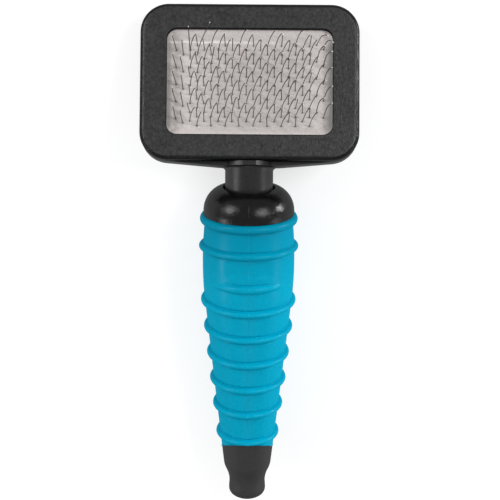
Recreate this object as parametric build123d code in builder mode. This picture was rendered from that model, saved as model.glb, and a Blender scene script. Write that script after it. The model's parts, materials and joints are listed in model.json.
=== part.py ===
# A slicker brush lying on its back, pins up. The head's top points to +Y, the tail to -Y.
# The origin is the middle of the brush's footprint, on the surface that it lies on.
# All lengths are in millimetres and all angles in degrees.
from build123d import *
import os
from math import asin, atan2, ceil, copysign, cos, degrees, hypot, radians, sin

os.makedirs("parts", exist_ok=True)

# ---------------------------------------------------------------- driving dimensions: head
head_width = 73.4
head_length = 52.7
head_corner = 9.5
shell_depth = 8.1
bezel_depth = 4.4
back_round = 2.0
front_round = 1.8
parting_bevel = 0.25
floor_thickness = 2.0
shell_wall = 2.0
tongue_depth = 3.8

# window and the stack of layers in it
window_width = 55.5
window_length = 35.5
window_corner = 3.5
window_edge_round = 0.4
lip_thickness = 2.2
pocket_margin = 2.0
pocket_corner = 4.5
ledge_width = 2.0
border_thickness = 1.2
border_side_slope = 1.8
border_end_slope = 3.0
face_depth = 4.75
face_corner = 2.5
card_thickness = 1.2
cloth_thickness = 0.8

# clearances
fit_gap = 0.05
part_gap = 0.2
foam_gap = 0.3

# ---------------------------------------------------------------- driving dimensions: pins
pin_side = 0.32
pin_tip_side = 0.22
pin_root_depth = 0.7
knee_height = 8.4
tip_height = 13.6
column_pitch = 2.36
column_inset = 1.1
outer_columns = 2
row_pitch = 3.02
row_inset = 0.45
outer_row_pitch = 5.8
lean_straight = (0.0, 0.75)
lean_right = (1.35, 1.85)
lean_left = (-0.15, 1.7)
lean_far_left = (-0.7, 1.6)
hook_straight = (0.0, 0.25)
hook_right = (1.15, 0.3)
hook_left = (-0.1, 0.8)
hook_far_left = (-0.3, 0.7)
hook_down_right = (1.35, -0.4)
# height of the lowest pin of each outer column over the lowest inner row
left_outer_start = 2.3
left_inner_start = 0.8
right_inner_start = 4.4
right_outer_start = 2.9

# ---------------------------------------------------------------- driving dimensions: neck
neck_bend = 22.0
neck_height = 2.2
neck_radius = 8.15
neck_run_in = 17.0
neck_seat = 10.1
neck_fillet = 1.2
shoulder_margin = 1.4
shoulder_high = 11.5
flare_half_width = 28.0
flare_flat_half_width = 10.2
flare_drop = 1.5
flare_low = 2.0
spigot_radius = 6.5
spigot_length = 30.0
spigot_bevel = 0.8

# ---------------------------------------------------------------- driving dimensions: handle
collar_radius = 15.55
collar_start = 8.1
collar_crest = 16.4
collar_dimple = 1.6
collar_lip_angle = 6.0
sleeve_start = 17.3
sleeve_thickness = 2.0
# the sleeve's lower edge is cut aslant, nearer to the head on the front
sleeve_end = 104.8
sleeve_end_slant = 25.0
barrel_middle = 34.5
barrel_radius = 15.82
barrel_fall = 0.38
taper_start = 45.0
taper_bulge = 0.06
shoulder_station = 110.6
shoulder_radius = 8.4
core_inner_radius = 4.6
core_end = 104.0

# rings
first_ring = 19.1
ring_pitch = 9.755
rings_before_thumb = 2
rings_after_thumb = 5
last_ring = 98.35
ring_height = 1.4
ring_half_width = 1.25
first_ring_height = 1.75
first_ring_half_width = 1.7
thumb_ring_shift = 3.4

# tail
plug_radius = 5.0
plug_length = 13.4
skirt_length = 4.5
tail_draw_in = 7.0
flank_station = 113.75
flank_radius = 7.3
waist_station = 118.1
waist_radius = 6.4
bulge_station = 120.8
bulge_radius = 6.55
tail_end = 125.0
dome_middle = 45.0

# ---------------------------------------------------------------- heights over the head's back
head_depth = shell_depth + bezel_depth
lip_height = head_depth - lip_thickness
ledge_height = lip_height - border_thickness
face_height = head_depth - face_depth
card_height = face_height - card_thickness
cloth_height = card_height - cloth_thickness
foam_thickness = cloth_height - floor_thickness
groove_height = shell_depth - tongue_depth - fit_gap

# outlines seen from the front, as (width, length)
groove_size = (head_width - 2 * shell_wall, head_length - 2 * shell_wall)
pocket_size = (window_width + 2 * pocket_margin, window_length + 2 * pocket_margin)
ledge_size = (pocket_size[0] + 2 * ledge_width, pocket_size[1] + 2 * ledge_width)
face_size = (window_width - 2 * border_side_slope, window_length - 2 * border_end_slope)
ledge_corner = pocket_corner + ledge_width
groove_corner = head_corner - shell_wall


# ---------------------------------------------------------------- rings and wall of the sleeve
def wall_radius(station):
    """Outer radius of the handle between its rings, from the collar to the tail's shoulder."""
    if station < taper_start:
        reach = (station - barrel_middle) / (taper_start - barrel_middle)
        return barrel_radius - barrel_fall * reach**2
    share = (station - taper_start) / (shoulder_station - taper_start)
    straight = (barrel_radius - barrel_fall) * (1 - share) + shoulder_radius * share
    return straight + 4 * taper_bulge * share * (1 - share)


head_side_rings = [first_ring + ring_pitch * count for count in range(rings_before_thumb)]
thumb_station = head_side_rings[-1] + ring_pitch
tail_side_rings = [thumb_station + ring_pitch * (count + 1) for count in range(rings_after_thumb)]
plain_rings = [*head_side_rings[1:], *tail_side_rings, last_ring]


# ---------------------------------------------------------------- how the brush lies at rest
# The brush touches the surface with the top edge of the head's back and with one ring.
# The steepest line that touches both circles is the surface, seen in the head's frame.
def resting_slope(station):
    """The surface's slope in the head's frame if the ring at this station touches it."""
    reach = wall_radius(station) + ring_height - ring_half_width
    bend = radians(neck_bend)
    ring_y = -station * cos(bend) + reach * sin(bend)
    ring_z = neck_height - station * sin(bend) - reach * cos(bend)
    run = head_length - back_round - ring_y
    rise = back_round - ring_z
    between = hypot(run, rise)
    return degrees(atan2(rise, run) - asin((back_round - ring_half_width) / between))


head_slope = max(resting_slope(station) for station in (thumb_station, *plain_rings))
handle_slope = neck_bend - head_slope
bend_cos = cos(radians(neck_bend))
bend_tan = sin(radians(neck_bend)) / bend_cos
slope_sin = sin(radians(head_slope))
slope_cos = cos(radians(head_slope))
handle_sin = sin(radians(handle_slope))
handle_cos = cos(radians(handle_slope))

head_z = back_round + (head_length - back_round) * slope_sin - back_round * slope_cos
top_reach = (head_length - front_round) * slope_cos + (head_depth - front_round) * slope_sin + front_round
tail_reach = bulge_station * handle_cos + hypot(
    (tail_end - bulge_station) * handle_cos, bulge_radius * handle_sin
)
head_y = -(top_reach + neck_height * slope_sin - tail_reach) / 2

head_frame = Plane(
    origin=(0, head_y, head_z), x_dir=(1, 0, 0), z_dir=(0, slope_sin, slope_cos)
)
head_axis = Axis(head_frame.origin, head_frame.z_dir)
handle_root = head_frame.from_local_coords((0, 0, neck_height))
handle_section = Plane(
    origin=handle_root, x_dir=(1, 0, 0), z_dir=(0, handle_sin, -handle_cos)
)
handle_axis = Axis(handle_root, handle_section.y_dir)
# seen from the side: x is the distance along the handle, y points to its back
handle_side = Plane(origin=handle_root, x_dir=handle_section.y_dir, z_dir=(1, 0, 0))
wall_plane = Plane(origin=head_frame.origin, x_dir=(1, 0, 0), z_dir=-head_frame.y_dir)
wall_axis = Axis(wall_plane.origin, wall_plane.z_dir)
head_middle = (0, head_length / 2)
head_size = (head_width, head_length)


def head_outline(height, size, corner):
    """A rounded rectangle in the middle of the head, at a height over its back."""
    with BuildSketch(head_frame.offset(height)) as outline:
        with Locations(head_middle):
            RectangleRounded(size[0], size[1], corner)
    return outline.sketch


def grown(size, amount):
    """An outline's size with an amount added all round."""
    return (size[0] + 2 * amount, size[1] + 2 * amount)


# ---------------------------------------------------------------- head shell with neck and spigot
with BuildPart() as head_shell:
    extrude(head_outline(0, head_size, head_corner), amount=shell_depth)
    fillet(head_shell.edges().group_by(head_axis)[0], back_round)
    chamfer(head_shell.edges().group_by(head_axis)[-1], parting_bevel)
    # flared platform under the head
    with BuildSketch(head_frame.offset(flare_low)):
        with BuildLine():
            Polyline(
                (-flare_half_width, back_round),
                (-flare_half_width, 0),
                (-flare_flat_half_width, -flare_drop),
                (flare_flat_half_width, -flare_drop),
                (flare_half_width, 0),
                (flare_half_width, back_round),
                close=True,
            )
        make_face()
    extrude(amount=shell_depth - flare_low)
    # shoulder round the front of the neck
    with BuildSketch(wall_plane):
        with Locations((0, neck_height - flare_drop * bend_tan)):
            Ellipse(neck_radius + shoulder_margin, neck_radius / bend_cos + shoulder_margin)
        with Locations((0, flare_low)):
            Rectangle(
                head_width,
                shoulder_high - flare_low,
                align=(Align.CENTER, Align.MIN),
                mode=Mode.INTERSECT,
            )
    extrude(amount=flare_drop)
    # round neck, which runs on into the back of the head
    with BuildSketch(handle_section):
        with BuildLine():
            Polyline(
                (0, -neck_run_in),
                (neck_radius, -neck_run_in),
                (neck_radius, neck_seat),
                (spigot_radius, neck_seat),
                (spigot_radius, neck_seat + spigot_length - spigot_bevel),
                (spigot_radius - spigot_bevel, neck_seat + spigot_length),
                (0, neck_seat + spigot_length),
                close=True,
            )
        make_face()
    revolve(axis=handle_axis)
    oval_edges = head_shell.edges().filter_by(GeomType.ELLIPSE)
    seam = oval_edges.filter_by_position(wall_axis, flare_drop - fit_gap, flare_drop + fit_gap)
    fillet(seam.sort_by(SortBy.LENGTH)[-1], neck_fillet)
    # room for the bezel over the parting plane
    with BuildSketch(head_frame.offset(shell_depth)):
        with Locations((0, -fit_gap)):
            Rectangle(head_width, 2 * head_length, align=(Align.CENTER, Align.MIN))
    extrude(amount=head_depth, mode=Mode.SUBTRACT)
    # ledge that carries the pad's border, groove for the bezel's tongue, pocket for the pad
    extrude(head_outline(shell_depth, ledge_size, ledge_corner), amount=ledge_height - shell_depth)
    with BuildSketch(head_frame.offset(groove_height)):
        with Locations(head_middle):
            RectangleRounded(groove_size[0], groove_size[1], groove_corner)
            RectangleRounded(ledge_size[0], ledge_size[1], ledge_corner, mode=Mode.SUBTRACT)
    extrude(amount=head_depth, mode=Mode.SUBTRACT)
    extrude(
        head_outline(floor_thickness, pocket_size, pocket_corner),
        amount=head_depth,
        mode=Mode.SUBTRACT,
    )
head_shell.part.label = "head_shell"

# ---------------------------------------------------------------- bezel frame
tongue_outer = grown(groove_size, -fit_gap)
tongue_inner = grown(ledge_size, fit_gap)
with BuildPart() as bezel_frame:
    extrude(head_outline(shell_depth, head_size, head_corner), amount=bezel_depth)
    fillet(bezel_frame.edges().group_by(head_axis)[-1], front_round)
    chamfer(bezel_frame.edges().group_by(head_axis)[0], parting_bevel)
    extrude(
        head_outline(shell_depth, tongue_outer, groove_corner - fit_gap), amount=-tongue_depth
    )
    extrude(
        head_outline(shell_depth - tongue_depth, tongue_inner, ledge_corner + fit_gap),
        amount=lip_height - shell_depth + tongue_depth,
        mode=Mode.SUBTRACT,
    )
    window = head_outline(lip_height, (window_width, window_length), window_corner)
    extrude(window, amount=lip_thickness, mode=Mode.SUBTRACT)
    front_face = bezel_frame.faces().sort_by(head_axis)[-1]
    fillet(front_face.inner_wires()[0].edges(), window_edge_round)
bezel_frame.part.label = "bezel_frame"

# ---------------------------------------------------------------- clamped border of the pad
window_size = (window_width, window_length)
border_top = grown(window_size, border_thickness)
border_foot = grown(face_size, border_thickness)
flange_size = grown(ledge_size, -part_gap)
with BuildPart() as pad_border:
    # sloping wall, then its flange
    add(head_outline(lip_height, border_top, window_corner + border_thickness))
    add(head_outline(card_height, border_foot, face_corner + border_thickness))
    loft()
    extrude(
        head_outline(ledge_height, flange_size, ledge_corner - part_gap), amount=border_thickness
    )
    # the hollow of the pad
    extrude(
        head_outline(card_height, face_size, face_corner), amount=card_thickness, mode=Mode.SUBTRACT
    )
    add(head_outline(lip_height, window_size, window_corner))
    add(head_outline(face_height, face_size, face_corner))
    loft(mode=Mode.SUBTRACT)
pad_border.part.label = "pad_border"

# ---------------------------------------------------------------- foam and cloth under the card
card_size = grown(face_size, -part_gap)
foam_size = grown(pocket_size, -foam_gap)
with BuildPart() as pad_foam:
    extrude(
        head_outline(floor_thickness, foam_size, pocket_corner - foam_gap), amount=foam_thickness
    )
pad_foam.part.label = "pad_foam"

with BuildPart() as card_backing:
    extrude(
        head_outline(cloth_height, card_size, face_corner - part_gap), amount=cloth_thickness
    )
card_backing.part.label = "card_backing"


# ---------------------------------------------------------------- pin card
def strand(base, lean, hook):
    """One bent wire: a four-sided leg up to its knee and a thinner one up to its tip."""
    knee = (base[0] + lean[0], base[1] + lean[1])
    tip = (knee[0] + hook[0], knee[1] + hook[1])
    with BuildPart() as wire:
        for point, height, side in (
            (base, -pin_root_depth, pin_side),
            (knee, knee_height, pin_side),
            (tip, tip_height, pin_tip_side),
        ):
            with BuildSketch(head_frame.offset(face_height + height)):
                with Locations(point):
                    Rectangle(side, side)
        loft(ruled=True)
    return wire.part


def column_rows(start, pitch):
    """Where the wires of one column stand along the head, up to the last row of the card."""
    first_row = head_length / 2 - face_size[1] / 2 + row_inset
    room = head_length - 2 * first_row - start
    return [first_row + start + pitch * count for count in range(ceil(room / pitch))]


def wires():
    """Every wire of the card: staggered inner columns and two sparser columns each side."""
    found = []
    columns = int((face_size[0] - 2 * column_inset) / column_pitch) + 1
    inner_columns = columns - 2 * outer_columns
    edge = (inner_columns - 1) / 2
    for column in range(inner_columns):
        x = (column - edge) * column_pitch
        start = row_pitch / 2 if column % 2 == 0 else 0
        for count, y in enumerate(column_rows(start, row_pitch)):
            if (column // 2 + count) % 2 == 0:
                found.append(strand((x, y), lean_right, hook_right))
            else:
                found.append(strand((x, y), lean_straight, hook_straight))
    for step, start, lean, hook in (
        (-1, left_inner_start, lean_left, hook_left),
        (-2, left_outer_start, lean_far_left, hook_far_left),
        (1, right_inner_start, lean_right, hook_down_right),
        (2, right_outer_start, lean_right, hook_down_right),
    ):
        x = (step + copysign(edge, step)) * column_pitch
        for y in column_rows(start, outer_row_pitch):
            found.append(strand((x, y), lean, hook))
    return found


pins = wires()
with BuildPart() as pin_card:
    extrude(head_outline(card_height, card_size, face_corner - part_gap), amount=card_thickness)
    add(pins)
pin_card.part.label = "pin_card"

# ---------------------------------------------------------------- handle core
bore_radius = spigot_radius + fit_gap
seat_radius = neck_radius + fit_gap
socket_radius = plug_radius + fit_gap
bore_end = neck_seat + spigot_length + fit_gap
socket_start = core_end - plug_length - fit_gap


def wall_line(first, last, inset):
    """Points of the handle's wall line from one station to another, moved inwards."""
    middle = (first + last) / 2
    return [(wall_radius(station) - inset, station) for station in (first, middle, last)]


with BuildPart() as handle_core:
    with BuildSketch(handle_section):
        with BuildLine():
            shoulder = EllipticalCenterArc(
                (seat_radius, collar_crest),
                collar_radius - seat_radius,
                collar_crest - collar_start,
                start_angle=collar_lip_angle - 90,
                arc_size=90 - collar_lip_angle,
            )
            Polyline(
                shoulder @ 0,
                (seat_radius, collar_start + collar_dimple),
                (seat_radius, neck_seat),
                (bore_radius, neck_seat),
                (bore_radius, bore_end),
                (core_inner_radius, bore_end),
                (core_inner_radius, socket_start),
                (socket_radius, socket_start),
                (socket_radius, core_end),
                (wall_radius(core_end) - sleeve_thickness, core_end),
            )
            Spline(*wall_line(core_end, taper_start, sleeve_thickness))
            Spline(*wall_line(taper_start, sleeve_start, sleeve_thickness))
            Polyline(
                (wall_radius(sleeve_start) - sleeve_thickness, sleeve_start),
                (collar_radius, sleeve_start),
                shoulder @ 1,
            )
        make_face()
    revolve(axis=handle_axis)
handle_core.part.label = "handle_core"


def slanted_half(station, towards_tail):
    """The space on one side of the sleeve's slanted end, through a station on the axis."""
    reach = 2 * barrel_radius
    rise = reach * sin(radians(sleeve_end_slant)) / cos(radians(sleeve_end_slant))
    far = station + copysign(2 * barrel_radius, towards_tail)
    with BuildPart() as half:
        with BuildSketch(handle_side):
            with BuildLine():
                Polyline(
                    (station - rise, -reach),
                    (station + rise, reach),
                    (far, reach),
                    (far, -reach),
                    close=True,
                )
            make_face()
        extrude(amount=reach, both=True)
    return half.part


# ---------------------------------------------------------------- grip sleeve
thumb_reach = wall_radius(thumb_station) - thumb_ring_shift
with BuildPart() as grip_sleeve:
    with BuildSketch(handle_section):
        with BuildLine():
            Polyline(
                (wall_radius(shoulder_station), shoulder_station),
                (0, shoulder_station),
                (0, sleeve_start + fit_gap),
                (wall_radius(sleeve_start), sleeve_start + fit_gap),
            )
            Spline(
                (wall_radius(sleeve_start), sleeve_start + fit_gap),
                *wall_line(sleeve_start, taper_start, 0)[1:],
            )
            Spline(*wall_line(taper_start, shoulder_station, 0))
        make_face()
        with Locations((wall_radius(first_ring), first_ring)):
            Ellipse(first_ring_height, first_ring_half_width)
        with Locations([(wall_radius(station), station) for station in plain_rings]):
            Ellipse(ring_height, ring_half_width)
    revolve(axis=handle_axis)
    # thumb stops, front and back: rings off the axis, which fade into the wall
    for shift in (thumb_ring_shift, -thumb_ring_shift):
        thumb_plane = handle_section.offset(-shift)
        with BuildSketch(thumb_plane):
            with Locations((thumb_reach, thumb_station)):
                Ellipse(ring_height, ring_half_width)
        revolve(axis=Axis(thumb_plane.origin, thumb_plane.y_dir))
    # room for the core
    with BuildSketch(handle_section):
        with BuildLine():
            Spline(*wall_line(sleeve_start, taper_start, sleeve_thickness - fit_gap))
            Spline(*wall_line(taper_start, shoulder_station, sleeve_thickness - fit_gap))
            Polyline(
                (wall_radius(shoulder_station) - sleeve_thickness + fit_gap, shoulder_station),
                (0, shoulder_station),
                (0, sleeve_start),
                (wall_radius(sleeve_start) - sleeve_thickness + fit_gap, sleeve_start),
            )
        make_face()
    revolve(axis=handle_axis, mode=Mode.SUBTRACT)
    add(slanted_half(sleeve_end, 1), mode=Mode.SUBTRACT)
grip_sleeve.part.label = "grip_sleeve"

# ---------------------------------------------------------------- tail cap
mouth_end = core_end + fit_gap
skirt_start = core_end - skirt_length
dome_half_radius = bulge_radius * cos(radians(dome_middle))
dome_half_length = (tail_end - bulge_station) * sin(radians(dome_middle))
with BuildPart() as sleeve_room:
    with BuildSketch(handle_section):
        with BuildLine():
            inner_line = Spline(*wall_line(skirt_start, shoulder_station, sleeve_thickness))
            Polyline(
                inner_line @ 1,
                (2 * shoulder_radius, shoulder_station),
                (2 * shoulder_radius, skirt_start - fit_gap),
                (wall_radius(skirt_start) - sleeve_thickness, skirt_start - fit_gap),
                inner_line @ 0,
            )
        make_face()
    revolve(axis=handle_axis)
    add(slanted_half(sleeve_end + fit_gap, 1), mode=Mode.SUBTRACT)

with BuildPart() as tail_cap:
    with BuildSketch(handle_section):
        with BuildLine():
            Polyline(
                (0, tail_end),
                (0, core_end - plug_length),
                (plug_radius, core_end - plug_length),
                (plug_radius, mouth_end),
                (wall_radius(mouth_end) - sleeve_thickness + fit_gap, mouth_end),
            )
            Spline(*wall_line(mouth_end, skirt_start, sleeve_thickness - fit_gap))
            Line(
                (wall_radius(skirt_start) - sleeve_thickness + fit_gap, skirt_start),
                (wall_radius(skirt_start), skirt_start),
            )
            Spline(*wall_line(skirt_start, shoulder_station, 0))
            Spline(
                (shoulder_radius, shoulder_station),
                (flank_radius, flank_station),
                (waist_radius, waist_station),
                (bulge_radius, bulge_station),
                tangents=((-sin(radians(tail_draw_in)), cos(radians(tail_draw_in))), (0, 1)),
            )
            Spline(
                (bulge_radius, bulge_station),
                (dome_half_radius, bulge_station + dome_half_length),
                (0, tail_end),
                tangents=((0, 1), (-1, 0)),
            )
        make_face()
    revolve(axis=handle_axis)
    add(sleeve_room.part, mode=Mode.SUBTRACT)
tail_cap.part.label = "tail_cap"

for piece in (
    head_shell,
    bezel_frame,
    pad_border,
    pad_foam,
    card_backing,
    pin_card,
    handle_core,
    grip_sleeve,
    tail_cap,
):
    export_step(piece.part, f"parts/{piece.part.label}.step")
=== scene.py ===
"""The slicker brush's looks: soft parts, wires and finishes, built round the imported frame."""
import json
import math
import random

import bpy
import numpy as np
from mathutils import Matrix, Vector


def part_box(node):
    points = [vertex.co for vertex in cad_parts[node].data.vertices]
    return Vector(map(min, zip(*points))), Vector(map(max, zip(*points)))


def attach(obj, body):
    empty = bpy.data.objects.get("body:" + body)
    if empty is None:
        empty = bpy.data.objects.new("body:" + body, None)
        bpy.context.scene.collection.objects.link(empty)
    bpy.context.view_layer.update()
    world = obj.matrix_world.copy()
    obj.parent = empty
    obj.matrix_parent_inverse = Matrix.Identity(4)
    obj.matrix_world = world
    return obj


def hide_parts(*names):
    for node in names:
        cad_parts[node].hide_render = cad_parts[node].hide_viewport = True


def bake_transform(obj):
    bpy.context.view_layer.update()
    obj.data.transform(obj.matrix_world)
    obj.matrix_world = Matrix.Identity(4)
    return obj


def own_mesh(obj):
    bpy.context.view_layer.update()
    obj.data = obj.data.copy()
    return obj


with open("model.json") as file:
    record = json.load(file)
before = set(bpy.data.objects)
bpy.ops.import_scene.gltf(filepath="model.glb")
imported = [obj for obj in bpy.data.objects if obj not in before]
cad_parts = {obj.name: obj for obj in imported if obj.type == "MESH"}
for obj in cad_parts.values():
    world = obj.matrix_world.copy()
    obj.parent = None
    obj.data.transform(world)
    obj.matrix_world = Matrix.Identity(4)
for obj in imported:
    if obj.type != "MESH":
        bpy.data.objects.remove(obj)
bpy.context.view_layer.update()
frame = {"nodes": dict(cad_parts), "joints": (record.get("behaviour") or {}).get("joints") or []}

MM = 0.001

# ---------------------------------------------------------------- the brush's sizes, in millimetres
HEAD_LENGTH = 52.7
# across and up, as all pairs of lengths on the head
WINDOW = (55.5, 35.5)
WINDOW_CORNER = 3.5
FACE_SLOPES = (1.8, 3.0)
# heights over the head's back
LIP_HEIGHT = 10.3
FACE_HEIGHT = 7.75
FLOOR_HEIGHT = 2.0
FOAM_THICKNESS = 3.75
CLOTH_THICKNESS = 0.8
RUBBER_THICKNESS = 1.2
CARD_ROOM = 0.2
CARD = tuple(w - 2 * slope - 2 * CARD_ROOM for w, slope in zip(WINDOW, FACE_SLOPES))
CARD_CORNER = 2.3
CLOTH_EDGE = 0.2
FOAM_MARGIN = 1.7
FOAM = tuple(w + 2 * FOAM_MARGIN for w in WINDOW)
FOAM_CORNER = 4.2
FOAM_EDGE = 0.4
FLANGE_MARGIN = 3.8
FLANGE = tuple(w + 2 * FLANGE_MARGIN for w in WINDOW)
FLANGE_CORNER = 6.3

NECK_BEND = math.radians(22.0)
NECK_HEIGHT = 2.2
# stations along the handle and radii about its axis, from the neck's root
COLLAR_RADIUS = 15.55
COLLAR_START = 8.1
COLLAR_CREST = 16.4
NECK_RADIUS = 8.2
SLEEVE_START = 17.35
SLEEVE_END = 104.8
SLEEVE_END_SLANT = math.radians(25.0)
SLEEVE_THICKNESS = 1.95
BARREL_MIDDLE = 34.5
BARREL_RADIUS = 15.82
BARREL_FALL = 0.38
TAPER_START = 45.0
TAPER_BULGE = 0.06
SHOULDER_STATION = 110.6
SHOULDER_RADIUS = 8.4

FIRST_RING = 19.1
# height and half width
FIRST_RING_SIZE = (1.75, 1.7)
RING_SIZE = (1.4, 1.25)
RING_PITCH = 9.755
RINGS_BEFORE_THUMB = 2
RINGS_AFTER_THUMB = 5
LAST_RING = 98.35
THUMB_SHIFT = 3.4

# ---------------------------------------------------------------- frames of the head and the handle
NORMAL = Vector(frame["joints"][0]["axis"])
ACROSS = Vector((1, 0, 0))
UPWARDS = NORMAL.cross(ACROSS)
foam_low, foam_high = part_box("pad_foam")
HEAD_MIDDLE = (foam_low + foam_high) / 2 - NORMAL * (FLOOR_HEIGHT + FOAM_THICKNESS / 2) * MM
HANDLE_ROOT = HEAD_MIDDLE - UPWARDS * HEAD_LENGTH / 2 * MM + NORMAL * NECK_HEIGHT * MM
TAILWARDS = -math.cos(NECK_BEND) * UPWARDS - math.sin(NECK_BEND) * NORMAL
FRONTWARDS = math.cos(NECK_BEND) * NORMAL - math.sin(NECK_BEND) * UPWARDS


def on_head(points):
    """Places points given in millimetres from the middle of the head's back: across, up, out."""
    axes = np.array([ACROSS, UPWARDS, NORMAL])
    return np.array(HEAD_MIDDLE) + np.asarray(points, float) @ axes * MM


def on_handle(stations, angles, radii):
    """Places points of the handle: along it, round it from the front, and out from its axis."""
    aside = np.sin(angles)[..., None] * np.array(ACROSS)
    out = aside + np.cos(angles)[..., None] * np.array(FRONTWARDS)
    along = np.asarray(stations)[..., None] * np.array(TAILWARDS)
    return np.array(HANDLE_ROOT) + (along + np.asarray(radii)[..., None] * out) * MM


# ---------------------------------------------------------------- mesh helpers
CORNER_STEPS = 10
# how far the middle of a rounded edge lies in from its two sides, as a share of its size
EDGE_MIDDLE = 0.3


def mesh_piece(name, points, faces, *materials, smooth=True):
    """A new object from points in metres and faces as tuples of their numbers."""
    mesh = bpy.data.meshes.new(name)
    mesh.from_pydata([tuple(p) for p in points], [], faces)
    mesh.validate()
    for material in materials:
        mesh.materials.append(material)
    mesh.polygons.foreach_set("use_smooth", [smooth] * len(mesh.polygons))
    mesh.update()
    piece = bpy.data.objects.new(name, mesh)
    bpy.context.scene.collection.objects.link(piece)
    return piece


def loop_faces(rings, around, first=0, closed=False):
    """Quads between loops of points that follow each other, each loop closed on itself."""
    faces = []
    for ring in range(rings if closed else rings - 1):
        a = first + ring * around
        b = first + (ring + 1) % rings * around
        for k in range(around):
            n = (k + 1) % around
            faces.append((a + k, a + n, b + n, b + k))
    return faces


def rounded_outline(size, corner):
    """Points round a rectangle with round corners, about its middle, anticlockwise."""
    points = []
    for quarter, (sx, sy) in enumerate(((1, 1), (-1, 1), (-1, -1), (1, -1))):
        for step in range(CORNER_STEPS + 1):
            angle = math.pi / 2 * (quarter + step / CORNER_STEPS)
            x = sx * (size[0] / 2 - corner) + corner * math.cos(angle)
            y = sy * (size[1] / 2 - corner) + corner * math.sin(angle)
            points.append((x, y))
    return np.array(points)


def at_height(outline, height):
    """An outline's points with a height over the head's back."""
    return np.column_stack([outline, np.full(len(outline), height)])


def slab(name, size, corner, low, high, edge, material):
    """A flat piece on the head with rounded edges, from one height over the back to another."""
    part = edge * EDGE_MIDDLE
    profile = [(edge, low), (part, low + part), (0, low + edge)]
    profile += [(0, high - edge), (part, high - part), (edge, high)]
    loops = []
    for inset, height in profile:
        outline = rounded_outline((size[0] - 2 * inset, size[1] - 2 * inset), corner - inset)
        loops.append(at_height(outline, height))
    around = len(loops[0])
    faces = loop_faces(len(loops), around)
    faces.append(tuple(reversed(range(around))))
    faces.append(tuple(range((len(loops) - 1) * around, len(loops) * around)))
    return mesh_piece(name, on_head(np.concatenate(loops)), faces, material, smooth=False)


# ---------------------------------------------------------------- materials
# colours are linear red, green and blue, noise is in cells per metre, depths are in millimetres
MOTTLE_SCALE = 900
GLOSS_SCALE = 160
WAVE_SCALE = 90
# cosines to the head's normal between which a side wall passes into the grained face; the walls get
# painted shade, their own roughness and a weaker coat
WALL_COSINES = (0.88, 0.98)
# share of the colour left on the side walls: painted shade
WALL_PAINTED_SHADE = 0.4
WALL_COAT = 0.15


def shader(name, **values):
    """A material with its Principled shader's own sockets set."""
    material = bpy.data.materials.new(name)
    material.use_nodes = True
    principled = material.node_tree.nodes["Principled BSDF"]
    for socket, value in values.items():
        principled.inputs[socket.replace("_", " ")].default_value = value
    return material, principled


def noise(tree, scale, detail=2.0, roughness=0.5):
    """Noise over the object's own coordinates."""
    place = tree.nodes.new("ShaderNodeTexCoord")
    texture = tree.nodes.new("ShaderNodeTexNoise")
    texture.inputs["Scale"].default_value = scale
    texture.inputs["Detail"].default_value = detail
    texture.inputs["Roughness"].default_value = roughness
    tree.links.new(place.outputs["Object"], texture.inputs["Vector"])
    return texture.outputs["Fac"]


def attribute(tree, name):
    """A share stored at the mesh's points."""
    node = tree.nodes.new("ShaderNodeAttribute")
    node.attribute_name = name
    return node.outputs["Fac"]


def ranged(tree, value, low, high, from_low=0.3, from_high=0.7):
    """A value brought from one span into another, and kept in it."""
    node = tree.nodes.new("ShaderNodeMapRange")
    node.inputs["From Min"].default_value = from_low
    node.inputs["From Max"].default_value = from_high
    node.inputs["To Min"].default_value = low
    node.inputs["To Max"].default_value = high
    tree.links.new(value, node.inputs["Value"])
    return node.outputs["Result"]


def mixed(tree, share, first, second):
    """Between two values. Each is a colour or another node's output."""
    node = tree.nodes.new("ShaderNodeMix")
    node.data_type = "RGBA"
    tree.links.new(share, node.inputs["Factor"])
    for socket, colour in ((node.inputs[6], first), (node.inputs[7], second)):
        if isinstance(colour, bpy.types.NodeSocket):
            tree.links.new(colour, socket)
        else:
            socket.default_value = (*colour, 1)
    return node.outputs[2]


def bumped(tree, height, strength, distance, under=None):
    """A normal tilted by a height field, over another one's bumps where there is one."""
    node = tree.nodes.new("ShaderNodeBump")
    node.inputs["Strength"].default_value = strength
    node.inputs["Distance"].default_value = distance
    tree.links.new(height, node.inputs["Height"])
    if under is not None:
        tree.links.new(under, node.inputs["Normal"])
    return node.outputs["Normal"]


def facing(tree, low, high):
    """Share by which a surface faces as the head does, from none at one cosine to all."""
    place = tree.nodes.new("ShaderNodeTexCoord")
    product = tree.nodes.new("ShaderNodeVectorMath")
    product.operation = "DOT_PRODUCT"
    product.inputs[1].default_value = NORMAL
    tree.links.new(place.outputs["Normal"], product.inputs[0])
    return ranged(tree, product.outputs["Value"], 0, 1, low, high)


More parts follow.
